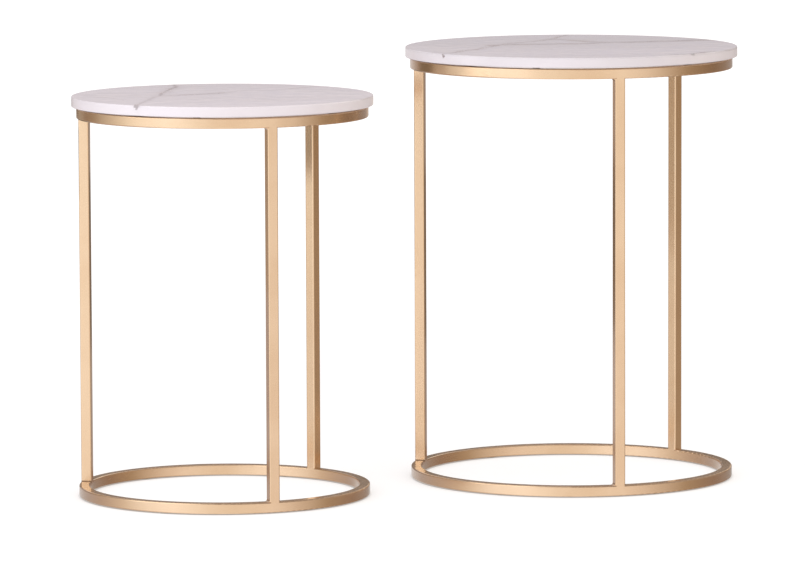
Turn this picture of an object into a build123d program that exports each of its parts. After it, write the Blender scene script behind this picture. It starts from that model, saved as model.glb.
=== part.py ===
from build123d import *
import math
import os

# Two round nesting tables, side by side as they stand in use. Millimetres, +Z up, floor at Z = 0.
# Each table is a welded frame of square steel tube, closed hoop above and below and three legs between,
# with a round stone top screwed down through tabs inside the upper hoop.
# The large table is lifted and lowered over the small one to nest the pair.

# The pair
large_top_diameter = 420.0
large_height = 548.0
nest_clearance = 3.5        # between the small top's edge and the large lower hoop, all round, when nested
nest_head_room = 21.0       # between the small top and the large upper hoop, when nested
hoop_gap = 80.5             # between the two lower hoops, at their nearest, as the tables stand here
pair_angle = 20.4           # from +X to the line from the small table's centre to the large one's
large_leg_angle = 46.0      # from +X to the large table's back leg
small_leg_angle = 51.5      # from +X to the small table's back leg

# Frame
tube_size = 13.0            # square tube, outside
tube_wall = 1.2
tube_corner = 1.5           # outside corner radius, which leaves a flat as wide as a glide
leg_names = ["back", "left", "front"]
vent_diameter = 5.0         # drain hole in the hoop's wall, hidden inside each leg

# Stone top
stone_thickness = 12.5
stone_edge_radius = 1.2
overhang = 6.0              # stone's edge past the hoop's outer face
shadow_gap = 1.5            # between stone and hoop, held by the bumpers

# Bumpers on the upper hoop
bumper_count = 6
bumper_diameter = 9.0
bumper_offset = 30.0        # degrees from the back leg to the first bumper

# Tabs, screws and inserts that hold the stone
tab_count = 3
tab_offset = 60.0           # degrees from the back leg to the first tab
tab_width = 25.0
tab_reach = 22.0            # from the hoop's inner face
tab_thickness = 3.0
tab_corner = 5.0
tab_hole_diameter = 5.5
tab_hole_inset = 12.0       # from the hoop's inner face to the hole's centre
weld_root_gap = 0.1         # between the tab's end and the hoop
screw_diameter = 5.0
screw_length = 12.0         # under the head
screw_head_diameter = 9.5
screw_head_height = 2.75
socket_across_flats = 3.0
socket_depth = 1.8
insert_diameter = 8.0
insert_length = 8.0
insert_play = 0.05          # round the insert and round the screw in it
insert_end_room = 0.4       # between the insert and the end of its hole

# Glides under the lower hoop
glide_count = 6
glide_offset = 15.0         # degrees from the back leg to the first glide
glide_diameter = 10.0
glide_thickness = 1.2

# Sizes that follow
frame_drop = stone_thickness + shadow_gap
small_top_diameter = large_top_diameter - 2 * (overhang + tube_size + nest_clearance)
small_height = large_height - frame_drop - tube_size - nest_head_room


def around(count, offset):
    """Equally spaced angles in degrees, starting at offset."""
    return [offset + 360 * k / count for k in range(count)]


def tube_section():
    outside = RectangleRounded(tube_size, tube_size, tube_corner)
    inside_size = tube_size - 2 * tube_wall
    return outside - Rectangle(inside_size, inside_size)


def hoop(radius, bottom, seat_height, turn):
    """Closed hoop of square tube, with a drain hole at each leg's seat. radius is to its outer face."""
    mid_radius = radius - tube_size / 2
    section = Plane.XZ * Pos(mid_radius, bottom + tube_size / 2) * tube_section()
    ring = revolve(section, Axis.Z, 360)
    for angle in around(len(leg_names), turn):
        drain = Cylinder(vent_diameter / 2, 2 * tube_wall)
        ring -= Rot(0, 0, angle) * Pos(mid_radius, 0, seat_height) * drain
    return ring


def leg(radius, bottom, length, angle):
    """Square tube standing on the hoop, its outer corners on the hoop's outer face."""
    face_radius = math.sqrt(radius**2 - (tube_size / 2) ** 2)
    place = Rot(0, 0, angle) * Pos(face_radius - tube_size / 2, 0, bottom)
    return place * extrude(tube_section(), length)


def stone_top(radius, hole_places, bottom):
    """Round slab with eased edges and a blind hole for each insert."""
    slab = extrude(Circle(radius), stone_thickness)
    slab = fillet(slab.edges(), stone_edge_radius)
    hole = extrude(Circle(insert_diameter / 2 + insert_play), insert_length + insert_end_room)
    for place in hole_places:
        slab -= place * hole
    return Pos(0, 0, bottom) * slab


def tab(inner_radius):
    """Flat lug with a round-cornered free end, its other end shaped to the hoop. Its top is at Z = 0."""
    free_end = inner_radius - tab_reach
    plate = extrude(Pos(free_end + tab_reach / 2 + tab_corner, 0)
                    * RectangleRounded(tab_reach + 2 * tab_corner, tab_width, tab_corner), -tab_thickness)
    plate &= extrude(Circle(inner_radius - weld_root_gap), -tab_thickness)
    hole = Pos(inner_radius - tab_hole_inset, 0) * Circle(tab_hole_diameter / 2)
    return plate - extrude(hole, -tab_thickness)


def screw():
    """Round-headed socket screw standing up, the underside of its head at Z = 0."""
    shank = extrude(Circle(screw_diameter / 2), screw_length)
    head = extrude(Circle(screw_head_diameter / 2), -screw_head_height)
    rim = head.edges().filter_by(GeomType.CIRCLE).sort_by(Axis.Z)[0]
    head = fillet(rim, screw_head_height * 0.6)
    socket = RegularPolygon(socket_across_flats / 2, 6, major_radius=False)
    socket = Pos(0, 0, -screw_head_height) * extrude(socket, socket_depth)
    return shank + head - socket


def insert():
    """Threaded bush let into the stone's underside, open below. Its lower end is at Z = 0."""
    ring = Circle(insert_diameter / 2) - Circle(screw_diameter / 2 + insert_play)
    return extrude(ring, insert_length)


def disc(diameter, thickness):
    return extrude(Circle(diameter / 2), thickness)


def placed(piece, places):
    return Compound([place * piece for place in places])


def table(top_diameter, height, turn):
    """Every piece of one table, by name, with its centre on the Z axis."""
    frame_radius = top_diameter / 2 - overhang
    mid_radius = frame_radius - tube_size / 2
    inner_radius = frame_radius - tube_size
    stone_bottom = height - stone_thickness
    hoop_top = stone_bottom - shadow_gap
    leg_bottom = glide_thickness + tube_size
    leg_top = hoop_top - tube_size

    def spread(count, offset, radius, level):
        return [Rot(0, 0, angle) * Pos(radius, 0, level) for angle in around(count, turn + offset)]

    hole_radius = inner_radius - tab_hole_inset
    pieces = {
        "marble_top": stone_top(top_diameter / 2, spread(tab_count, tab_offset, hole_radius, 0), stone_bottom),
        "top_inserts": placed(insert(), spread(tab_count, tab_offset, hole_radius, stone_bottom)),
        "top_screws": placed(screw(), spread(tab_count, tab_offset, hole_radius, hoop_top - tab_thickness)),
        "top_tabs": placed(tab(inner_radius), spread(tab_count, tab_offset, 0, hoop_top)),
        "top_bumpers": placed(disc(bumper_diameter, shadow_gap),
                              spread(bumper_count, bumper_offset, mid_radius, hoop_top)),
        "top_ring": hoop(frame_radius, leg_top, leg_top, turn),
        "base_ring": hoop(frame_radius, glide_thickness, leg_bottom, turn),
        "glides": placed(disc(glide_diameter, glide_thickness),
                         spread(glide_count, glide_offset, mid_radius, 0)),
    }
    for name, angle in zip(leg_names, around(len(leg_names), turn)):
        pieces["leg_" + name] = leg(frame_radius, leg_bottom, leg_top - leg_bottom, angle)
    return pieces


def centres():
    """Where the small and the large table stand, with the middle of the pair's box at X = Y = 0."""
    small_radius = small_top_diameter / 2
    large_radius = large_top_diameter / 2
    apart = small_radius + large_radius - 2 * overhang + hoop_gap
    found = []
    for step in (math.cos(math.radians(pair_angle)), math.sin(math.radians(pair_angle))):
        low = min(-small_radius, apart * step - large_radius)
        high = max(small_radius, apart * step + large_radius)
        found.append((-(low + high) / 2, apart * step - (low + high) / 2))
    return Pos(found[0][0], found[1][0], 0), Pos(found[0][1], found[1][1], 0)


def main():
    os.makedirs("parts", exist_ok=True)
    small_place, large_place = centres()
    tables = {
        "small": (small_place, table(small_top_diameter, small_height, small_leg_angle)),
        "large": (large_place, table(large_top_diameter, large_height, large_leg_angle)),
    }
    for size, (place, pieces) in tables.items():
        for name, piece in pieces.items():
            export_step(place * piece, "parts/" + size + "_" + name + ".step")
        print(size, "table: centre", place.position, "pieces", len(pieces))


main()
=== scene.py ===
import math
import bmesh
import bpy
from mathutils import Matrix, Vector


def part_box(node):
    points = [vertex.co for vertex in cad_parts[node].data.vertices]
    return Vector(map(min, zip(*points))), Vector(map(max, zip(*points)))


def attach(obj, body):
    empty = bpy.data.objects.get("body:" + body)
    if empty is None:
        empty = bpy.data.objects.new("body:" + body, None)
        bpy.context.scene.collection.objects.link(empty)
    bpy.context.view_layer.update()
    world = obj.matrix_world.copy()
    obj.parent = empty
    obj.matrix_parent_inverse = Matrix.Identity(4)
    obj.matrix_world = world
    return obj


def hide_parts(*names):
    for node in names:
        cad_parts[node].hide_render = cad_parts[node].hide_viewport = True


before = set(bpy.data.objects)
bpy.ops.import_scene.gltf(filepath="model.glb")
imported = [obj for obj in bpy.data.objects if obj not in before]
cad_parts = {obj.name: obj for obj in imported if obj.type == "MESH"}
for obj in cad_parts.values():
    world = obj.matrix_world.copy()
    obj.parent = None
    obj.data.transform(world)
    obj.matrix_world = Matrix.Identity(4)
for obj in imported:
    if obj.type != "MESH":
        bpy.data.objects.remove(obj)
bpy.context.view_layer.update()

tableNames = ["small", "large"]


# Short ways to add nodes

def addNode(tree, kind, inputs=None, **settings):
    made = tree.nodes.new(kind)
    for key, value in settings.items():
        setattr(made, key, value)
    for key, value in (inputs or {}).items():
        if isinstance(value, bpy.types.NodeSocket):
            tree.links.new(value, made.inputs[key])
        else:
            made.inputs[key].default_value = value
    return made


def calc(tree, operation, first, second=0.0, third=0.0):
    return addNode(tree, "ShaderNodeMath", {0: first, 1: second, 2: third}, operation=operation).outputs[0]


def vectorCalc(tree, operation, first, second=(0, 0, 0)):
    return addNode(tree, "ShaderNodeVectorMath", {0: first, 1: second}, operation=operation).outputs[0]


def mixColour(tree, share, first, second):
    return addNode(tree, "ShaderNodeMix", {0: share, 6: first, 7: second}, data_type="RGBA").outputs[2]


def fade(tree, value, fromLow, fromHigh, toLow=0.0, toHigh=1.0):
    inputs = {0: value, 1: fromLow, 2: fromHigh, 3: toLow, 4: toHigh}
    return addNode(tree, "ShaderNodeMapRange", inputs, interpolation_type="SMOOTHSTEP").outputs[0]


def noise(tree, vector, scale, detail=4.0, roughness=0.55, distortion=0.0, output="Fac"):
    inputs = {"Vector": vector, "Scale": scale, "Detail": detail,
              "Roughness": roughness, "Distortion": distortion}
    return addNode(tree, "ShaderNodeTexNoise", inputs).outputs[output]


def mottle(tree, vector, look):
    # noise as the look says, faded over the look's own range
    settings = {key: value for key, value in look.items() if key != "fades"}
    return fade(tree, noise(tree, vector, **settings), *look["fades"])


def separate(tree, vector):
    return addNode(tree, "ShaderNodeSeparateXYZ", {0: vector}).outputs


def distance(tree, vector):
    return addNode(tree, "ShaderNodeVectorMath", {0: vector}, operation="LENGTH").outputs["Value"]


def fromAxis(tree, axes):
    # distance from the Z axis
    squares = calc(tree, "MULTIPLY_ADD", axes[0], axes[0], calc(tree, "POWER", axes[1], 2.0))
    return calc(tree, "SQRT", squares)


def faceNormal(tree):
    return addNode(tree, "ShaderNodeNewGeometry").outputs["True Normal"]


def objectPlace(tree):
    return addNode(tree, "ShaderNodeTexCoord").outputs["Object"]


def fromCentre(tree, table):
    inputs = {"Vector": objectPlace(tree), "Location": -table["centre"]}
    return addNode(tree, "ShaderNodeMapping", inputs).outputs[0]


def newMaterial(name, **shaderValues):
    material = bpy.data.materials.new(name)
    material.use_nodes = True
    shader = material.node_tree.nodes["Principled BSDF"]
    for key, value in shaderValues.items():
        shader.inputs[key.replace("_", " ")].default_value = value
    return material, material.node_tree, shader


def addBump(tree, shader, height, strength, depth):
    bump = addNode(tree, "ShaderNodeBump", {"Height": height, "Strength": strength, "Distance": depth})
    tree.links.new(bump.outputs[0], shader.inputs["Normal"])


# Where each table stands and how big its parts are, all read from the frame

def measure(name):
    stoneLow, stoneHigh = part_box(name + "_marble_top")
    ringLow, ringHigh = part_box(name + "_top_ring")
    baseLow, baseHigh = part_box(name + "_base_ring")
    legLow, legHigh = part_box(name + "_leg_back")
    centre = (stoneLow + stoneHigh) / 2
    legMiddle = (legLow + legHigh) / 2 - centre
    tube = baseHigh.z - baseLow.z
    return {
        "body": name + "_table",
        "centre": Vector((centre.x, centre.y, 0)),
        "stoneTop": stoneHigh.z,
        "stoneBottom": stoneLow.z,
        "tube": tube,
        "frameRadius": (ringHigh.x - ringLow.x - tube) / 2,
        "baseTop": baseHigh.z,
        "ringBottom": ringLow.z,
        "ringTop": ringHigh.z,
        "glideTop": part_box(name + "_glides")[1].z,
        "tabBottom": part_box(name + "_top_tabs")[0].z,
        "legAngle": math.atan2(legMiddle.y, legMiddle.x),     # the back leg's
    }


tables = {name: measure(name) for name in tableNames}


# Stone

stone = {
    "white": (0.87, 0.83, 0.88, 1),
    "cloud": (0.81, 0.77, 0.81, 1),
    "warmCloud": (0.87, 0.82, 0.83, 1),
    "vein": (0.27, 0.245, 0.27, 1),
    "rust": (0.34, 0.275, 0.27, 1),
    "grey": (0.50, 0.50, 0.51, 1),
    "sawn": (0.74, 0.71, 0.72, 1),
    "blockStep": 0.5,                # each top is cut from another place in the block
    "sway": (20.0, 0.020),           # scale, and how far a vein wanders from its line
    "shake": (110.0, 0.0045),
    "veinCore": 0.1,                 # share of a vein's width that is fully dark
    "veinEnd": (0.50, 0.54),         # a vein fades here, as a share of its run from its middle
    "hair": 0.12,
    "hairWidth": 0.014,
    "lie": -0.65,                    # the way the clouds and fine veins are drawn out
    "stretch": 0.40,
    "polishedEdge": (0.0030, 0.0008),     # below the top face, where the veins come to full strength
    "onSide": 0.15,                  # and how much of them the sides show
    "knotCore": 0.45,
    "knotStretch": 0.18,             # a knot reaches inwards along Y
    "greyAndShadeRange": (-0.06, 0.26),      # from front to back: the stone's own tone, with painted shade towards the back
    "greyWander": 0.16,
    "sawnFacing": (-0.95, -0.80),
    "sawnShare": 0.7,
    "sawScale": (900, 30, 30),
    "veinRoughness": 0.12,
    "sawnRoughness": 0.45,
    "veinSink": -0.6,
    "sawRise": 3.0,
    "bump": (0.25, 0.00004),
}

stoneGrain = {
    "swell": {"scale": 45.0, "detail": 2.0, "fades": (0.3, 0.7, 0.6, 1.3)},
    "broken": {"scale": 60.0, "detail": 3.0, "fades": (0.30, 0.60, 0.65, 1.0)},
    "smoky": {"scale": 22.0, "detail": 4.0, "fades": (0.30, 0.68, 0.35, 1.0)},
    "sparse": {"scale": 9.0, "detail": 2.0, "fades": (0.45, 0.62)},
    "ragged": {"scale": 400.0, "detail": 2.0, "fades": (0.3, 0.7, -0.0010, 0.0010)},
    "cloud": {"scale": 9.0, "detail": 5.0, "roughness": 0.6, "distortion": 0.8,
              "fades": (0.36, 0.70)},
    "warm": {"scale": 5.0, "detail": 3.0, "roughness": 0.5, "distortion": 0.4,
             "fades": (0.45, 0.75, 0.0, 0.6)},
    "rusty": {"scale": 30.0, "detail": 2.0, "fades": (0.35, 0.65)},
    "polish": {"scale": 40.0, "detail": 3.0, "fades": (0.3, 0.8, 0.16, 0.24)},
}

# each vein runs through these points, in metres from its table's centre, with a soft grey band along it
veins = {
    "small": [
        {"path": [(-0.061, 0.200), (-0.064, 0.138), (-0.069, 0.078), (-0.080, -0.006)],
         "width": 0.0042, "depth": 0.80, "band": 0.020, "grey": 0.42},
        {"path": [(-0.080, -0.006), (-0.090, -0.083), (-0.095, -0.130), (-0.100, -0.175)],
         "width": 0.0046, "depth": 0.42, "band": 0.014, "grey": 0.24},
        {"path": [(-0.080, -0.006), (-0.046, 0.008), (-0.018, 0.022), (0.000, 0.038)],
         "width": 0.0042, "depth": 0.85, "band": 0.022, "grey": 0.45},
        {"path": [(0.000, 0.038), (0.030, 0.066), (0.078, 0.080)],
         "width": 0.0022, "depth": 0.55, "band": 0.014, "grey": 0.22},
        {"path": [(-0.024, 0.063), (0.004, 0.096)],
         "width": 0.0020, "depth": 0.45, "band": 0.010, "grey": 0.16},
        {"path": [(0.080, 0.098), (0.122, 0.145)],
         "width": 0.0026, "depth": 0.60, "band": 0.014, "grey": 0.22},
        {"path": [(-0.190, 0.010), (-0.150, -0.020), (-0.120, -0.080)],
         "width": 0.0016, "depth": 0.30, "band": 0.012, "grey": 0.12},
    ],
    "large": [
        {"path": [(0.002, 0.215), (-0.012, 0.160), (-0.030, 0.112), (-0.060, 0.066)],
         "width": 0.0028, "depth": 0.80, "band": 0.018, "grey": 0.30},
        {"path": [(-0.060, 0.066), (-0.083, 0.033), (-0.104, -0.014), (-0.122, -0.058), (-0.140, -0.090),
                  (-0.152, -0.116)],
         "width": 0.0032, "depth": 0.85, "band": 0.018, "grey": 0.34},
        {"path": [(-0.104, 0.014), (-0.083, 0.025), (-0.032, 0.034), (0.004, 0.040), (0.028, 0.048),
                  (0.048, 0.064)],
         "width": 0.0044, "depth": 1.00, "band": 0.024, "grey": 0.55},
        {"path": [(-0.030, 0.112), (-0.010, 0.112), (0.008, 0.094), (0.028, 0.074), (0.048, 0.064)],
         "width": 0.0036, "depth": 0.90, "band": 0.020, "grey": 0.45},
        {"path": [(0.048, 0.064), (0.090, 0.064), (0.112, 0.079), (0.142, 0.088), (0.165, 0.097),
                  (0.200, 0.092)],
         "width": 0.0042, "depth": 1.00, "band": 0.026, "grey": 0.75},
        {"path": [(0.116, -0.164), (0.144, -0.148), (0.158, -0.126), (0.176, -0.098)],
         "width": 0.0034, "depth": 0.85, "band": 0.014, "grey": 0.35},
        {"path": [(-0.212, 0.030), (-0.150, 0.020), (-0.098, 0.021)],
         "width": 0.0018, "depth": 0.35, "band": 0.012, "grey": 0.15},
    ],
}

# a dark knot where a vein comes out at the front edge
knots = {
    "small": {"place": (-0.1000, -0.1580), "below": 0.0008, "size": 0.0040, "drop": 0.0052, "depth": 0.75},
    "large": {"place": (-0.1620, -0.1330), "below": 0.0026, "size": 0.0022, "drop": 0.0036, "depth": 1.00},
}

# how grey the polished face is at the front and at the back of each top, as it stands: partly the stone's
# own tone, partly painted shade where less light reaches the back
greynessAndShade = {"small": (0.0, 0.22), "large": (0.20, 0.50)}


def distanceToVein(tree, place, path):
    # a vein runs from its first point to its last, and a curve bends it aside through the others
    points = [Vector(point) for point in path]
    run = points[-1] - points[0]
    inputs = {"Vector": place, "Location": (points[0].x, points[0].y, 0),
              "Rotation": (0, 0, math.atan2(run.y, run.x)), "Scale": (run.length, run.length, 1)}
    local = separate(tree, addNode(tree, "ShaderNodeMapping", inputs, vector_type="TEXTURE").outputs[0])
    bend = addNode(tree, "ShaderNodeFloatCurve", {"Value": local[0]})
    curve = bend.mapping.curves[0]
    curve.points[0].location = (0.0, 0.5)
    curve.points[1].location = (1.0, 0.5)
    for point in points[1:-1]:
        offset = point - points[0]
        curve.points.new(offset.dot(run) / run.length_squared, 0.5 + run.cross(offset) / run.length_squared)
    bend.mapping.update()
    aside = calc(tree, "SUBTRACT", calc(tree, "ADD", local[1], 0.5), bend.outputs[0])
    away = calc(tree, "MULTIPLY", calc(tree, "ABSOLUTE", aside), run.length)
    fromMiddle = calc(tree, "ABSOLUTE", calc(tree, "SUBTRACT", local[0], 0.5))
    return away, fade(tree, fromMiddle, *stone["veinEnd"], 1.0, 0.0)


def marbleMaterial(name):
    table = tables[name]
    material, tree, shader = newMaterial(name + "Marble", IOR=1.5)
    place = fromCentre(tree, table)
    block = stone["blockStep"] * tableNames.index(name)
    grain = addNode(tree, "ShaderNodeMapping", {"Vector": place, "Location": (block, block, 0)}).outputs[0]
    inputs = {"Vector": grain, "Rotation": (0, 0, stone["lie"]), "Scale": (stone["stretch"], 1, 1)}
    drawn = addNode(tree, "ShaderNodeMapping", inputs).outputs[0]

    wander = place
    for scale, reach in (stone["sway"], stone["shake"]):
        push = vectorCalc(tree, "SUBTRACT", noise(tree, grain, scale, 3.0, output="Color"), (0.5, 0.5, 0.5))
        wander = vectorCalc(tree, "ADD", wander, vectorCalc(tree, "MULTIPLY", push, (reach, reach, reach)))

    swell = mottle(tree, grain, stoneGrain["swell"])
    broken = mottle(tree, grain, stoneGrain["broken"])
    smoky = mottle(tree, grain, stoneGrain["smoky"])
    darkness = 0.0
    for vein in veins[name]:
        away, lasting = distanceToVein(tree, wander, vein["path"])
        width = calc(tree, "MULTIPLY", swell, vein["width"])
        core = fade(tree, calc(tree, "DIVIDE", away, width), stone["veinCore"], 1.0, vein["depth"], 0.0)
        band = fade(tree, away, -vein["band"], vein["band"], vein["grey"] * 2, 0.0)
        band = calc(tree, "MULTIPLY", band, smoky)
        seen = calc(tree, "MAXIMUM", calc(tree, "MULTIPLY", core, broken), band)
        darkness = calc(tree, "MAXIMUM", darkness, calc(tree, "MULTIPLY", seen, lasting))

    # the sides show less of the veins than the polished face
    edgeLow, edgeHigh = (table["stoneTop"] - below for below in stone["polishedEdge"])
    onFace = fade(tree, separate(tree, place)[2], edgeLow, edgeHigh, stone["onSide"], 1.0)
    ridge = calc(tree, "ABSOLUTE", calc(tree, "SUBTRACT", noise(tree, drawn, 14.0, 4.0, 0.5, 0.5), 0.5))
    hair = fade(tree, ridge, 0.0, stone["hairWidth"], stone["hair"], 0.0)
    hair = calc(tree, "MULTIPLY", hair, mottle(tree, grain, stoneGrain["sparse"]))
    darkness = calc(tree, "MULTIPLY", calc(tree, "MAXIMUM", darkness, hair), onFace)

    knot = knots[name]
    offset = vectorCalc(tree, "SUBTRACT", place, knot["place"] + (table["stoneTop"] - knot["below"],))
    offset = vectorCalc(tree, "MULTIPLY", offset, (1.0, stone["knotStretch"], knot["size"] / knot["drop"]))
    away = calc(tree, "ADD", mottle(tree, grain, stoneGrain["ragged"]), distance(tree, offset))
    spot = fade(tree, away, knot["size"] * stone["knotCore"], knot["size"], knot["depth"], 0.0)
    darkness = calc(tree, "MAXIMUM", darkness, spot)

    colour = mixColour(tree, mottle(tree, drawn, stoneGrain["cloud"]), stone["white"], stone["cloud"])
    colour = mixColour(tree, mottle(tree, grain, stoneGrain["warm"]), colour, stone["warmCloud"])
    # greyer towards the back of the top face: partly the stone's own tone, partly painted shade
    depthwise = noise(tree, grain, scale=7.0, detail=3.0)
    depthwise = calc(tree, "MULTIPLY_ADD", depthwise, stone["greyWander"], separate(tree, place)[1])
    greyedAndShaded = fade(tree, depthwise, *stone["greyAndShadeRange"], *greynessAndShade[name])
    colour = mixColour(tree, calc(tree, "MULTIPLY", greyedAndShaded, onFace), colour, stone["grey"])
    veinColour = mixColour(tree, mottle(tree, grain, stoneGrain["rusty"]), stone["vein"], stone["rust"])
    colour = mixColour(tree, darkness, colour, veinColour)

    # polished above and round the edge, left as sawn below
    sawn = fade(tree, separate(tree, faceNormal(tree))[2], *stone["sawnFacing"], 1.0, 0.0)
    sawPlace = addNode(tree, "ShaderNodeMapping", {"Vector": grain, "Scale": stone["sawScale"]}).outputs[0]
    saw = noise(tree, sawPlace, scale=1.0)
    colour = mixColour(tree, calc(tree, "MULTIPLY", sawn, stone["sawnShare"]), colour, stone["sawn"])
    tree.links.new(colour, shader.inputs["Base Color"])
    polish = mottle(tree, grain, stoneGrain["polish"])
    rough = calc(tree, "MULTIPLY_ADD", darkness, stone["veinRoughness"], polish)
    rough = calc(tree, "MULTIPLY_ADD", sawn, stone["sawnRoughness"], rough)
    tree.links.new(rough, shader.inputs["Roughness"])
    relief = noise(tree, grain, scale=90.0, detail=3.0)
    relief = calc(tree, "MULTIPLY_ADD", darkness, stone["veinSink"], relief)
    relief = calc(tree, "MULTIPLY_ADD", calc(tree, "MULTIPLY", saw, sawn), stone["sawRise"], relief)
    addBump(tree, shader, relief, *stone["bump"])
    return material


# Plated frame

plating = {
    "gold": (0.84, 0.605, 0.39, 1),
    "deepGold": (0.80, 0.56, 0.35, 1),
    # colour of the painted contact shadow at the leg joints
    "seamShadowBrown": (0.16, 0.09, 0.05, 1),
    "roughness": (0.20, 0.26),
    "patchScale": 14.0,
    "patchColours": (0.35, 0.70),
    "patchShine": (0.3, 0.7),
    "brushScale": 2600.0,
    "brushStretch": 0.010,
    "brushTurn": 0.2,     # metres of brushing for a radian round a hoop
    "brushDepth": 0.00001,
    "brushStrength": 0.3,
    "lineColours": (0.35, 0.75, 0.0, 0.15),
    "lineShine": (0.3, 0.8, -0.02, 0.03),
    "lacquer": 0.55,
    "lacquerRoughness": 0.14,
    "seam": 0.0012,       # height of the painted shadow line where a leg's one side is butted on the hoop
    "seamCore": 0.6,      # share of it that is fully dark
    "seamFacing": (0.5, 0.8),
    "seamShadowDepth": 0.8,
    "seamRoughness": 0.3,
}


def seamShadowShare(tree, place, table):
    # 1 in a thin line at both ends of a leg, on its side that faces anticlockwise round the table, where
    # the joint's contact shadow is painted
    aside = addNode(tree, "ShaderNodeMapping", {"Vector": place, "Rotation": (0, 0, math.pi / 2),
                                                "Scale": (1, 1, 0)}).outputs[0]
    inputs = {0: faceNormal(tree), 1: vectorCalc(tree, "NORMALIZE", aside)}
    facing = addNode(tree, "ShaderNodeVectorMath", inputs, operation="DOT_PRODUCT").outputs["Value"]
    height = separate(tree, place)[2]
    seam = plating["seam"]
    core = seam * plating["seamCore"]
    low = fade(tree, height, table["baseTop"] + core, table["baseTop"] + seam, 1.0, 0.0)
    high = fade(tree, height, table["ringBottom"] - seam, table["ringBottom"] - core)
    ends = calc(tree, "MAXIMUM", low, high)
    return calc(tree, "MULTIPLY", ends, fade(tree, facing, *plating["seamFacing"]))


def goldMaterial(label, table, alongHoop):
    material, tree, shader = newMaterial(label, Metallic=1.0, Coat_Weight=plating["lacquer"],
                                         Coat_Roughness=plating["lacquerRoughness"])
    place = fromCentre(tree, table)
    if alongHoop:
        axes = separate(tree, place)
        run = calc(tree, "ARCTAN2", axes[1], axes[0])
        run = calc(tree, "MULTIPLY", run, plating["brushTurn"] * plating["brushStretch"])
        inputs = {0: fromAxis(tree, axes), 1: axes[2], 2: run}
        brushed = addNode(tree, "ShaderNodeCombineXYZ", inputs).outputs[0]
    else:
        scale = (1, 1, plating["brushStretch"])
        brushed = addNode(tree, "ShaderNodeMapping", {"Vector": place, "Scale": scale}).outputs[0]
    lines = noise(tree, brushed, plating["brushScale"], detail=2.0, roughness=0.5)
    patches = noise(tree, place, plating["patchScale"], detail=4.0, roughness=0.6)
    patchy = fade(tree, patches, *plating["patchColours"])
    colour = mixColour(tree, patchy, plating["gold"], plating["deepGold"])
    colour = mixColour(tree, fade(tree, lines, *plating["lineColours"]), colour, plating["deepGold"])
    rough = fade(tree, patches, *plating["patchShine"], *plating["roughness"])
    rough = calc(tree, "ADD", rough, fade(tree, lines, *plating["lineShine"]))
    if not alongHoop:
        # a thin painted shadow where a leg's side meets a hoop
        seam = seamShadowShare(tree, place, table)
        seamShadowed = calc(tree, "MULTIPLY", seam, plating["seamShadowDepth"])
        colour = mixColour(tree, seamShadowed, colour, plating["seamShadowBrown"])
        rough = calc(tree, "MULTIPLY_ADD", seam, plating["seamRoughness"], rough)
    tree.links.new(colour, shader.inputs["Base Color"])
    tree.links.new(rough, shader.inputs["Roughness"])
    addBump(tree, shader, lines, plating["brushStrength"], plating["brushDepth"])
    return material


smallParts = {
    "zincPlate": {"colours": ((0.66, 0.67, 0.68, 1), (0.52, 0.53, 0.55, 1)), "roughness": (0.22, 0.38),
                  "metallic": 1.0, "scale": 300.0, "depth": 0.00005},
    "turnedBrass": {"colours": ((0.78, 0.60, 0.30, 1), (0.66, 0.47, 0.22, 1)), "roughness": (0.25, 0.40),
                    "metallic": 1.0, "scale": 500.0, "depth": 0.00005},
    "clearSilicone": {"colours": ((0.66, 0.64, 0.61, 1), (0.56, 0.54, 0.51, 1)), "roughness": (0.30, 0.45),
                      "metallic": 0.0, "scale": 200.0, "depth": 0.00005},
    "glidePad": {"colours": ((0.66, 0.64, 0.60, 1), (0.74, 0.72, 0.68, 1)), "roughness": (0.5, 0.7),
                 "metallic": 0.0, "scale": 900.0, "depth": 0.0001},
}
grainRange = (0.3, 0.7)
grainStrength = 0.3


def smallPartMaterial(label):
    look = smallParts[label]
    material, tree, shader = newMaterial(label, Metallic=look["metallic"])
    grain = noise(tree, objectPlace(tree), look["scale"])
    colour = mixColour(tree, fade(tree, grain, *grainRange), *look["colours"])
    tree.links.new(colour, shader.inputs["Base Color"])
    tree.links.new(fade(tree, grain, *grainRange, *look["roughness"]), shader.inputs["Roughness"])
    addBump(tree, shader, grain, grainStrength, look["depth"])
    return material


zinc = smallPartMaterial("zincPlate")
brass = smallPartMaterial("turnedBrass")
silicone = smallPartMaterial("clearSilicone")
glidePad = smallPartMaterial("glidePad")


def dress(node, material):
    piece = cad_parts[node]
    piece.data.materials.clear()
    piece.data.materials.append(material)


legGolds = {}
for name in tableNames:
    hoopGold = goldMaterial(name + "HoopGold", tables[name], True)
    legGolds[name] = goldMaterial(name + "LegGold", tables[name], False)
    dress(name + "_marble_top", marbleMaterial(name))
    for node in ("_top_ring", "_base_ring"):
        dress(name + node, hoopGold)
    for node in ("_leg_back", "_leg_left", "_leg_front", "_top_tabs"):
        dress(name + node, legGolds[name])
    dress(name + "_top_inserts", brass)
    dress(name + "_top_screws", zinc)
print("finishes on the frame's own pieces")


# Geometry Nodes: a tree with named inputs, and the plain mesh that comes out of it

mergeDistance = 1e-6


def startTree(label, sizes, counts):
    tree = bpy.data.node_groups.new(label, "GeometryNodeTree")
    for kind, keys in (("NodeSocketFloat", sizes), ("NodeSocketInt", counts)):
        for key in keys:
            tree.interface.new_socket(key, in_out="INPUT", socket_type=kind)
    tree.interface.new_socket("Material", in_out="INPUT", socket_type="NodeSocketMaterial")
    tree.interface.new_socket("Geometry", in_out="OUTPUT", socket_type="NodeSocketGeometry")
    return tree, addNode(tree, "NodeGroupInput").outputs


def finishTree(tree, given, geometry):
    real = addNode(tree, "GeometryNodeRealizeInstances", {0: geometry}).outputs[0]
    inputs = {"Geometry": real, "Material": given["Material"]}
    painted = addNode(tree, "GeometryNodeSetMaterial", inputs).outputs[0]
    addNode(tree, "NodeGroupOutput", {0: painted})


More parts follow.
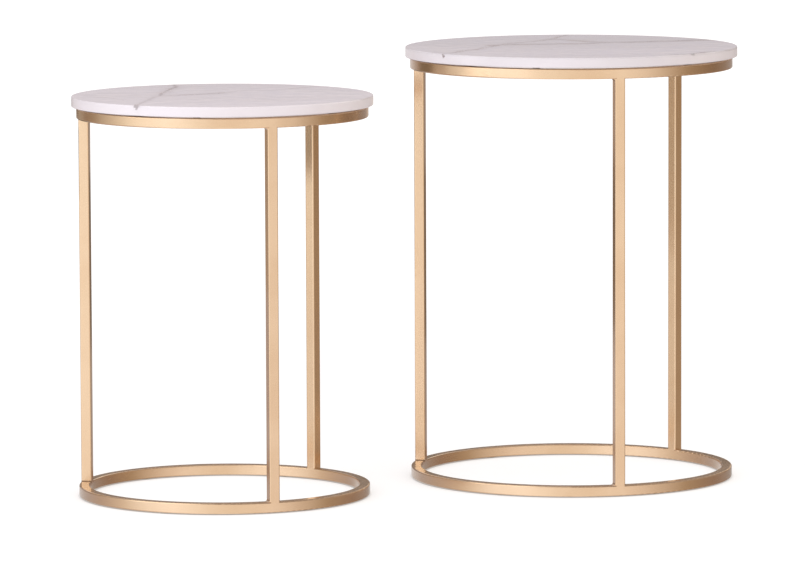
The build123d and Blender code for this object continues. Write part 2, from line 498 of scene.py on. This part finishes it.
def meshFromTree(label, tree, values, material, sharpAngle):
    piece = bpy.data.objects.new(label, bpy.data.meshes.new(label))
    bpy.context.scene.collection.objects.link(piece)
    modifier = piece.modifiers.new("shape", "NODES")
    modifier.node_group = tree
    for socket in tree.interface.items_tree:
        if socket.in_out == "INPUT":
            value = material if socket.name == "Material" else values[socket.name]
            modifier[socket.identifier] = value
    graph = bpy.context.evaluated_depsgraph_get()
    mesh = bpy.data.meshes.new_from_object(piece.evaluated_get(graph), depsgraph=graph)
    piece.modifiers.clear()
    piece.data = mesh
    shape = bmesh.new()
    shape.from_mesh(mesh)
    bmesh.ops.remove_doubles(shape, verts=shape.verts, dist=mergeDistance)
    bmesh.ops.recalc_face_normals(shape, faces=shape.faces)
    shape.to_mesh(mesh)
    shape.free()
    mesh.polygons.foreach_set("use_smooth", [True] * len(mesh.polygons))
    mesh.set_sharp_from_angle(angle=sharpAngle)
    return piece


def aroundCircle(tree, piece, count, radius, firstAngle, chosen=True):
    # copies of a piece round the table's centre, each facing outwards
    circle = addNode(tree, "GeometryNodeMeshCircle", {"Vertices": count, "Radius": radius}).outputs[0]
    turned = addNode(tree, "ShaderNodeCombineXYZ", {2: firstAngle}).outputs[0]
    circle = addNode(tree, "GeometryNodeTransform", {"Geometry": circle, "Rotation": turned}).outputs[0]
    index = addNode(tree, "GeometryNodeInputIndex").outputs[0]
    facing = calc(tree, "MULTIPLY_ADD", index, calc(tree, "DIVIDE", math.tau, count), firstAngle)
    facing = addNode(tree, "ShaderNodeCombineXYZ", {2: facing}).outputs[0]
    facing = addNode(tree, "FunctionNodeEulerToRotation", {0: facing}).outputs[0]
    inputs = {"Points": circle, "Selection": chosen, "Instance": piece, "Rotation": facing}
    return addNode(tree, "GeometryNodeInstanceOnPoints", inputs).outputs[0]


# Leg welds: the groove at the hoop's corners filled flush on each leg,
# and a small hollow rounding beside the front leg

welds = {
    "hollow": 0.0029,         # radius of the rounding
    "hoopCorner": 0.0015,     # radius of the tube's corner, which the flush weld fills
    "width": 0.0104,
    "steps": 7,
    "legs": 3,
    "frontLeg": 2,            # counted from the back leg, which is 0
}


def cornerPrism(tree, given, radius):
    # a bar along X: square corner on the origin, hollow arc from +Y to +Z
    inputs = {"Size X": 1.0, "Size Y": 1.0, "Vertices X": given["Steps"], "Vertices Y": 2}
    grid = addNode(tree, "GeometryNodeMeshGrid", inputs).outputs[0]
    axes = separate(tree, addNode(tree, "GeometryNodeInputPosition").outputs[0])
    angle = calc(tree, "MULTIPLY_ADD", axes[0], math.pi / 2, math.pi * 1.25)
    reach = calc(tree, "MULTIPLY", calc(tree, "ADD", axes[1], 0.5), radius)
    alongY = calc(tree, "MULTIPLY", calc(tree, "ADD", calc(tree, "COSINE", angle), 1.0), reach)
    alongZ = calc(tree, "MULTIPLY", calc(tree, "ADD", calc(tree, "SINE", angle), 1.0), reach)
    start = calc(tree, "MULTIPLY", given["Width"], -0.5)
    place = addNode(tree, "ShaderNodeCombineXYZ", {0: start, 1: alongY, 2: alongZ}).outputs[0]
    end = addNode(tree, "GeometryNodeSetPosition", {"Geometry": grid, "Position": place}).outputs[0]
    inputs = {"Geometry": end, "Distance": mergeDistance}
    end = addNode(tree, "GeometryNodeMergeByDistance", inputs).outputs[0]
    along = addNode(tree, "ShaderNodeCombineXYZ", {0: given["Width"]}).outputs[0]
    inputs = {"Mesh": end, "Offset": along, "Offset Scale": 1.0, "Individual": False}
    bar = addNode(tree, "GeometryNodeExtrudeMesh", inputs, mode="FACES").outputs["Mesh"]
    cap = addNode(tree, "GeometryNodeFlipFaces", {"Mesh": end}).outputs[0]
    joined = addNode(tree, "GeometryNodeJoinGeometry")
    tree.links.new(bar, joined.inputs[0])
    tree.links.new(cap, joined.inputs[0])
    return joined.outputs[0]


def buildWeldTree():
    sizes = ["Frame radius", "Leg angle", "Tube", "Low", "High", "Hollow", "Hoop corner", "Width"]
    tree, given = startTree("legWelds", sizes, ["Steps", "Legs", "Front leg"])
    hollow = cornerPrism(tree, given, given["Hollow"])
    flush = cornerPrism(tree, given, given["Hoop corner"])
    side = calc(tree, "MULTIPLY", given["Tube"], 0.5)
    otherSide = calc(tree, "MULTIPLY", given["Tube"], -0.5)
    half = math.pi / 2
    # the bar, where its corner goes across and along the leg, and how it is turned there
    everyLeg = [
        (flush, side, 0.0, "Low", (math.pi, 0, -half)),
        (flush, otherSide, 0.0, "Low", (math.pi, 0, half)),
        (flush, side, 0.0, "High", (0, 0, half)),
        (flush, otherSide, 0.0, "High", (0, 0, -half)),
    ]
    frontLeg = [
        (hollow, 0.0, otherSide, "Low", (0, 0, math.pi)),
        (hollow, 0.0, otherSide, "High", (math.pi, 0, 0)),
    ]
    index = addNode(tree, "GeometryNodeInputIndex").outputs[0]
    isFront = calc(tree, "COMPARE", index, given["Front leg"], 0.5)
    allWelds = addNode(tree, "GeometryNodeJoinGeometry")
    for spots, chosen in ((everyLeg, True), (frontLeg, isFront)):
        oneLeg = addNode(tree, "GeometryNodeJoinGeometry")
        for bar, across, aside, level, turn in spots:
            place = addNode(tree, "ShaderNodeCombineXYZ", {0: across, 1: aside, 2: given[level]}).outputs[0]
            inputs = {"Geometry": bar, "Translation": place, "Rotation": turn}
            tree.links.new(addNode(tree, "GeometryNodeTransform", inputs).outputs[0], oneLeg.inputs[0])
        placed = aroundCircle(tree, oneLeg.outputs[0], given["Legs"], given["Frame radius"],
                              given["Leg angle"], chosen)
        tree.links.new(placed, allWelds.inputs[0])
    finishTree(tree, given, allWelds.outputs[0])
    return tree


# Tab welds: a rippled bead under each tab, along the inside of the top hoop

beads = {
    "length": 0.019,
    "bead": 0.0021,
    "squash": 0.62,
    "ripples": 14,
    "tabs": 3,
    "firstAngle": math.radians(60),     # from the back leg
}
dropMesh = {"Segments": 14, "Rings": 8}
dropSizes = {"Min": 0.88, "Max": 1.10, "Seed": 5}


def buildBeadTree():
    sizes = ["Seam radius", "Height", "First angle", "Length", "Bead", "Squash"]
    tree, given = startTree("tabWelds", sizes, ["Ripples", "Tabs"])
    step = calc(tree, "DIVIDE", given["Length"], calc(tree, "SUBTRACT", given["Ripples"], 1.0))
    start = calc(tree, "MULTIPLY", given["Length"], -0.5)
    start = addNode(tree, "ShaderNodeCombineXYZ", {1: start}).outputs[0]
    offset = addNode(tree, "ShaderNodeCombineXYZ", {1: step}).outputs[0]
    inputs = {"Count": given["Ripples"], "Start Location": start, "Offset": offset}
    line = addNode(tree, "GeometryNodeMeshLine", inputs, mode="OFFSET").outputs[0]
    drop = addNode(tree, "GeometryNodeMeshUVSphere", {**dropMesh, "Radius": given["Bead"]}).outputs[0]
    flat = addNode(tree, "ShaderNodeCombineXYZ", {0: 1.0, 1: given["Squash"], 2: 1.0}).outputs[0]
    drop = addNode(tree, "GeometryNodeTransform", {"Geometry": drop, "Scale": flat}).outputs[0]
    uneven = addNode(tree, "FunctionNodeRandomValue", dropSizes, data_type="FLOAT").outputs["Value"]
    inputs = {"Points": line, "Instance": drop, "Scale": uneven}
    seam = addNode(tree, "GeometryNodeInstanceOnPoints", inputs).outputs[0]
    lift = addNode(tree, "ShaderNodeCombineXYZ", {2: given["Height"]}).outputs[0]
    seam = addNode(tree, "GeometryNodeTransform", {"Geometry": seam, "Translation": lift}).outputs[0]
    placed = aroundCircle(tree, seam, given["Tabs"], given["Seam radius"], given["First angle"])
    finishTree(tree, given, placed)
    return tree


# Round pads: the clear bumpers under the stone and the glides under the base hoop,
# their first angles counted from the back leg

pads = {
    "top_bumpers": {"count": 6, "firstAngle": math.radians(30), "diameter": 0.009, "slot": "clear_rubber",
                    "material": silicone, "between": ("ringTop", "stoneBottom")},
    "glides": {"count": 6, "firstAngle": math.radians(15), "diameter": 0.010, "slot": "glide_pad",
               "material": glidePad, "between": (None, "glideTop")},
}
padMesh = {"Segments": 32, "Rings": 14, "Radius": 1.0}
padRounding = 0.45      # 1 gives a ball's curve, smaller values a squarer pad
padMiddle = 1e-5        # keeps the pad's own centre from dividing by nothing


def buildPadTree():
    tree, given = startTree("roundPads", ["Circle", "First angle", "Pad radius", "Low", "High"], ["Count"])
    ball = addNode(tree, "GeometryNodeMeshUVSphere", padMesh).outputs[0]
    axes = separate(tree, addNode(tree, "GeometryNodeInputPosition").outputs[0])
    reach = calc(tree, "MAXIMUM", fromAxis(tree, axes), padMiddle)
    spread = calc(tree, "POWER", reach, padRounding - 1.0)
    spread = calc(tree, "MULTIPLY", spread, given["Pad radius"])
    lift = calc(tree, "POWER", calc(tree, "ABSOLUTE", axes[2]), padRounding)
    lift = calc(tree, "MULTIPLY", lift, calc(tree, "SIGN", axes[2]))
    halfHeight = calc(tree, "MULTIPLY", calc(tree, "SUBTRACT", given["High"], given["Low"]), 0.5)
    middle = calc(tree, "ADD", given["Low"], halfHeight)
    place = {0: calc(tree, "MULTIPLY", axes[0], spread), 1: calc(tree, "MULTIPLY", axes[1], spread),
             2: calc(tree, "MULTIPLY_ADD", lift, halfHeight, middle)}
    place = addNode(tree, "ShaderNodeCombineXYZ", place).outputs[0]
    pad = addNode(tree, "GeometryNodeSetPosition", {"Geometry": ball, "Position": place}).outputs[0]
    finishTree(tree, given, aroundCircle(tree, pad, given["Count"], given["Circle"], given["First angle"]))
    return tree


def moveMesh(piece, offset):
    piece.data.transform(Matrix.Translation(offset))


softAngle = math.radians(60)      # edges sharper than this stay crisp
crispAngle = math.radians(35)
weldTree = buildWeldTree()
beadTree = buildBeadTree()
padTree = buildPadTree()
for name, table in tables.items():
    values = {"Frame radius": table["frameRadius"], "Leg angle": table["legAngle"], "Tube": table["tube"],
              "Low": table["baseTop"], "High": table["ringBottom"], "Hollow": welds["hollow"],
              "Hoop corner": welds["hoopCorner"], "Width": welds["width"], "Steps": welds["steps"],
              "Legs": welds["legs"], "Front leg": welds["frontLeg"]}
    piece = meshFromTree(name + "_leg_welds", weldTree, values, legGolds[name], crispAngle)
    moveMesh(piece, table["centre"])
    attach(piece, table["body"])
    values = {"Seam radius": table["frameRadius"] - table["tube"] / 2, "Height": table["tabBottom"],
              "First angle": table["legAngle"] + beads["firstAngle"], "Length": beads["length"],
              "Bead": beads["bead"], "Squash": beads["squash"], "Ripples": beads["ripples"],
              "Tabs": beads["tabs"]}
    piece = meshFromTree(name + "_tab_welds", beadTree, values, legGolds[name], softAngle)
    moveMesh(piece, table["centre"])
    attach(piece, table["body"])
    for node, pad in pads.items():
        low, high = pad["between"]
        values = {"Circle": table["frameRadius"], "Count": pad["count"],
                  "First angle": table["legAngle"] + pad["firstAngle"], "Pad radius": pad["diameter"] / 2,
                  "Low": table[low] if low else 0.0, "High": table[high]}
        piece = meshFromTree(name + "_" + node + "_rounded", padTree, values, pad["material"], softAngle)
        moveMesh(piece, table["centre"])
        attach(piece, table["body"])
        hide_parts(name + "_" + node)
print("welds and pads")


# Studio: what stands round the tables, by direction; 0 is the camera's side, positive to its right

studio = {
    # by the top hoops' height and a little below level
    "horizon": [(-180, (0.80, 0.80, 0.80)), (-160, (0.65, 0.60, 0.60)), (-136, (0.26, 0.17, 0.10)),
                (-120, (0.32, 0.24, 0.15)), (-72, (1.20, 1.28, 1.32)), (-40, (1.25, 1.35, 1.45)),
                (-8, (1.05, 1.05, 1.05)), (8, (1.02, 0.97, 0.95)), (30, (1.08, 1.08, 1.06)),
                (56, (0.88, 0.84, 0.82)), (88, (0.39, 0.31, 0.23)), (120, (0.24, 0.17, 0.12)),
                (160, (0.38, 0.33, 0.31)), (180, (0.80, 0.80, 0.80))],
    # lower down, where the base hoops are mirrored from
    "nearFloor": [(-180, (0.80, 0.80, 0.80)), (-138, (0.50, 0.47, 0.50)), (-104, (0.59, 0.52, 0.52)),
                  (-88, (0.70, 0.62, 0.58)), (-56, (1.15, 1.15, 1.25)), (-40, (1.20, 1.18, 1.25)),
                  (-16, (1.05, 1.03, 1.05)), (8, (0.91, 0.86, 0.82)), (40, (1.00, 0.96, 1.00)),
                  (88, (0.46, 0.38, 0.30)), (120, (0.34, 0.26, 0.23)), (160, (0.38, 0.34, 0.32)),
                  (180, (0.80, 0.80, 0.80))],
    "wallLow": (0.54, 0.51, 0.60),       # behind, just above level
    "wallHigh": (0.36, 0.28, 0.23),
    "rightAbove": (1.25, 1.17, 1.08),    # a large warm screen over the right
    "leftAbove": (0.56, 0.53, 0.58),
    "ceiling": (0.42, 0.38, 0.38),       # only reflections show it
    # where each of them begins and is full, as a share of a direction of length 1
    "hoopLevel": (-0.114, -0.086),
    "wallFrom": (0.80, 0.95),
    "wallFoot": (0.0, 0.05),
    "wallHeights": (0.06, 0.16),
    "aboveFrom": (0.16, 0.42),
    "aboveSides": (-0.6, 0.6),
    "ceilingEnds": (0.60, 0.85),
}
opaque = (1,)


def horizonRamp(tree, share, lights):
    ramp = addNode(tree, "ShaderNodeValToRGB", {0: share})
    stops = ramp.color_ramp.elements
    for azimuth, light in lights[1:-1]:
        stops.new((azimuth + 180) / 360).color = light + opaque
    stops[0].color = lights[0][1] + opaque
    stops[-1].color = lights[-1][1] + opaque
    return ramp.outputs[0]


def seenDirectly(tree, rays):
    return calc(tree, "MAXIMUM", rays["Is Camera Ray"], rays["Is Transmission Ray"])


def studioWorld():
    world = bpy.data.worlds.new("studio")
    bpy.context.scene.world = world
    world.use_nodes = True
    tree = world.node_tree
    tree.nodes.clear()
    direction = addNode(tree, "ShaderNodeTexCoord").outputs["Generated"]
    axes = separate(tree, direction)
    around = calc(tree, "ARCTAN2", axes[0], calc(tree, "MULTIPLY", axes[1], -1.0))
    share = calc(tree, "MULTIPLY_ADD", around, 1 / math.tau, 0.5)
    level = horizonRamp(tree, share, studio["horizon"])
    lower = horizonRamp(tree, share, studio["nearFloor"])
    light = mixColour(tree, fade(tree, axes[2], *studio["hoopLevel"]), lower, level)

    def mixed(share, first, second):
        return mixColour(tree, share, studio[first] + opaque, studio[second] + opaque)

    wall = mixed(fade(tree, axes[2], *studio["wallHeights"]), "wallLow", "wallHigh")
    behind = fade(tree, axes[1], *studio["wallFrom"])
    behind = calc(tree, "MULTIPLY", behind, fade(tree, axes[2], *studio["wallFoot"]))
    light = mixColour(tree, behind, light, wall)
    rays = addNode(tree, "ShaderNodeLightPath").outputs
    above = mixed(fade(tree, axes[0], *studio["aboveSides"]), "leftAbove", "rightAbove")
    overhead = fade(tree, axes[1], *studio["ceilingEnds"], 1.0, 0.0)
    overhead = calc(tree, "MULTIPLY", rays["Is Glossy Ray"], overhead)
    above = mixColour(tree, overhead, above, studio["ceiling"] + opaque)
    light = mixColour(tree, fade(tree, axes[2], *studio["aboveFrom"]), light, above)
    shown = mixColour(tree, seenDirectly(tree, rays), light, (1, 1, 1, 1))
    background = addNode(tree, "ShaderNodeBackground", {"Color": shown, "Strength": 1.0})
    addNode(tree, "ShaderNodeOutputWorld", {0: background.outputs[0]})


softbox = {"place": (-2.0, -1.4, 1.90), "aim": (0.0, 0.0, 0.5), "width": 2.8, "power": 30.0}


def addSoftbox():
    data = bpy.data.lights.new("softbox", "AREA")
    data.shape = "SQUARE"
    data.size = softbox["width"]
    data.energy = softbox["power"]
    lamp = bpy.data.objects.new("softbox", data)
    bpy.context.scene.collection.objects.link(lamp)
    aim = Vector(softbox["aim"]) - Vector(softbox["place"])
    turn = aim.to_track_quat("-Z", "Y").to_matrix().to_4x4()
    lamp.matrix_world = Matrix.Translation(softbox["place"]) @ turn
    lamp.visible_camera = False


# dark cards on edge round the tables, seen only in reflections
flags = {
    "flagLargeLeg": {"ends": ((-0.60, 0.08), (-0.60, 0.30)), "heights": (0.20, 0.62),
                     "shade": (0.42, 0.35, 0.28, 1)},
    "flagLargeHoop": {"ends": ((-0.60, 0.30), (-0.60, 0.72)), "heights": (0.42, 0.62),
                      "shade": (0.20, 0.15, 0.10, 1)},
    "flagSmallLeg": {"ends": ((-0.45, -0.085), (-0.45, -0.012)), "heights": (0.365, 0.455),
                     "shade": (0.10, 0.08, 0.05, 1)},
    "flagRear": {"ends": ((-0.85, 1.00), (0.85, 1.00)), "heights": (0.05, 0.30),
                 "shade": (0.20, 0.16, 0.13, 1)},
}


def addSheet(label, finish, corners):
    # a flat stage piece with a material of its own, still without nodes
    mesh = bpy.data.meshes.new(label)
    mesh.from_pydata(corners, [], [(0, 1, 2, 3)])
    sheet = bpy.data.objects.new(label, mesh)
    bpy.context.scene.collection.objects.link(sheet)
    material = bpy.data.materials.new(finish)
    material.use_nodes = True
    material.node_tree.nodes.clear()
    mesh.materials.append(material)
    return sheet, material.node_tree


def addFlag(label, flag):
    low, high = flag["heights"]
    start, end = flag["ends"]
    corners = [start + (low,), end + (low,), end + (high,), start + (high,)]
    card, tree = addSheet(label, label + "Cloth", corners)
    dull = addNode(tree, "ShaderNodeEmission", {"Color": flag["shade"], "Strength": 1.0})
    addNode(tree, "ShaderNodeOutputMaterial", {0: dull.outputs[0]})
    card.visible_camera = False
    card.visible_diffuse = False
    card.visible_shadow = False


floorLook = {
    "half": 14.0,
    "pale": (0.80, 0.79, 0.79, 1),
    "seen": (0.42, 0.42, 0.42, 1),      # the part of the floor's own tone that shows shadows
    "gap": 0.005,                       # how near and how dark the painted contact shade on the floor is under a hoop
    "gapShade": 0.35,
    "reach": (0.9, 2.6),                # paler away from the tables, like a lit sweep
    "glow": (0.66, 0.80),
}


def studioFloor():
    half = floorLook["half"]
    corners = [(-half, -half, 0), (half, -half, 0), (half, half, 0), (-half, half, 0)]
    floor, tree = addSheet("floor", "studioFloor", corners)
    plain = addNode(tree, "ShaderNodeBsdfDiffuse", {"Color": floorLook["pale"]})
    seen = addNode(tree, "ShaderNodeBsdfDiffuse", {"Color": floorLook["seen"]})
    away = distance(tree, objectPlace(tree))
    strength = fade(tree, away, *floorLook["reach"], *floorLook["glow"])
    # the glow is darkened where the floor is closed in: a painted contact shadow under the hoops
    openness = addNode(tree, "ShaderNodeAmbientOcclusion", {"Distance": floorLook["gap"]}).outputs["AO"]
    strength = calc(tree, "MULTIPLY", strength, fade(tree, openness, 0.0, 1.0, floorLook["gapShade"], 1.0))
    glow = addNode(tree, "ShaderNodeEmission", {"Color": (1, 1, 1, 1), "Strength": strength})
    both = addNode(tree, "ShaderNodeAddShader", {0: seen.outputs[0], 1: glow.outputs[0]})
    direct = seenDirectly(tree, addNode(tree, "ShaderNodeLightPath").outputs)
    mixed = addNode(tree, "ShaderNodeMixShader", {0: direct, 1: plain.outputs[0], 2: both.outputs[0]})
    # from below the floor isn't there, so the undersides can be looked at
    clear = addNode(tree, "ShaderNodeBsdfTransparent")
    under = addNode(tree, "ShaderNodeNewGeometry").outputs["Backfacing"]
    oneSided = addNode(tree, "ShaderNodeMixShader", {0: under, 1: mixed.outputs[0], 2: clear.outputs[0]})
    addNode(tree, "ShaderNodeOutputMaterial", {0: oneSided.outputs[0]})
    floor.visible_glossy = False


studioWorld()
addSoftbox()
for label, flag in flags.items():
    addFlag(label, flag)
studioFloor()
print("studio")


# Camera

view = {
    "place": (0.013, -7.999, 1.123),
    "pitch": 6.2085,      # degrees below level
    "heading": 0.144,     # degrees to the left of +Y
    "roll": -0.211,
    "lens": 285.8,        # millimetres, as the sensor is
    "sensor": 36.0,
    "clipEnd": 60.0,
}


def addCamera():
    data = bpy.data.cameras.new("camera")
    data.sensor_width = view["sensor"]
    data.lens = view["lens"]
    data.clip_end = view["clipEnd"]
    camera = bpy.data.objects.new("camera", data)
    bpy.context.scene.collection.objects.link(camera)
    turn = Matrix.Rotation(math.radians(view["heading"]), 4, "Z")
    turn = turn @ Matrix.Rotation(math.radians(90 - view["pitch"]), 4, "X")
    turn = turn @ Matrix.Rotation(math.radians(view["roll"]), 4, "Z")
    camera.matrix_world = Matrix.Translation(view["place"]) @ turn
    bpy.context.scene.camera = camera


addCamera()
bpy.context.scene.view_settings.view_transform = "Standard"
print("camera")
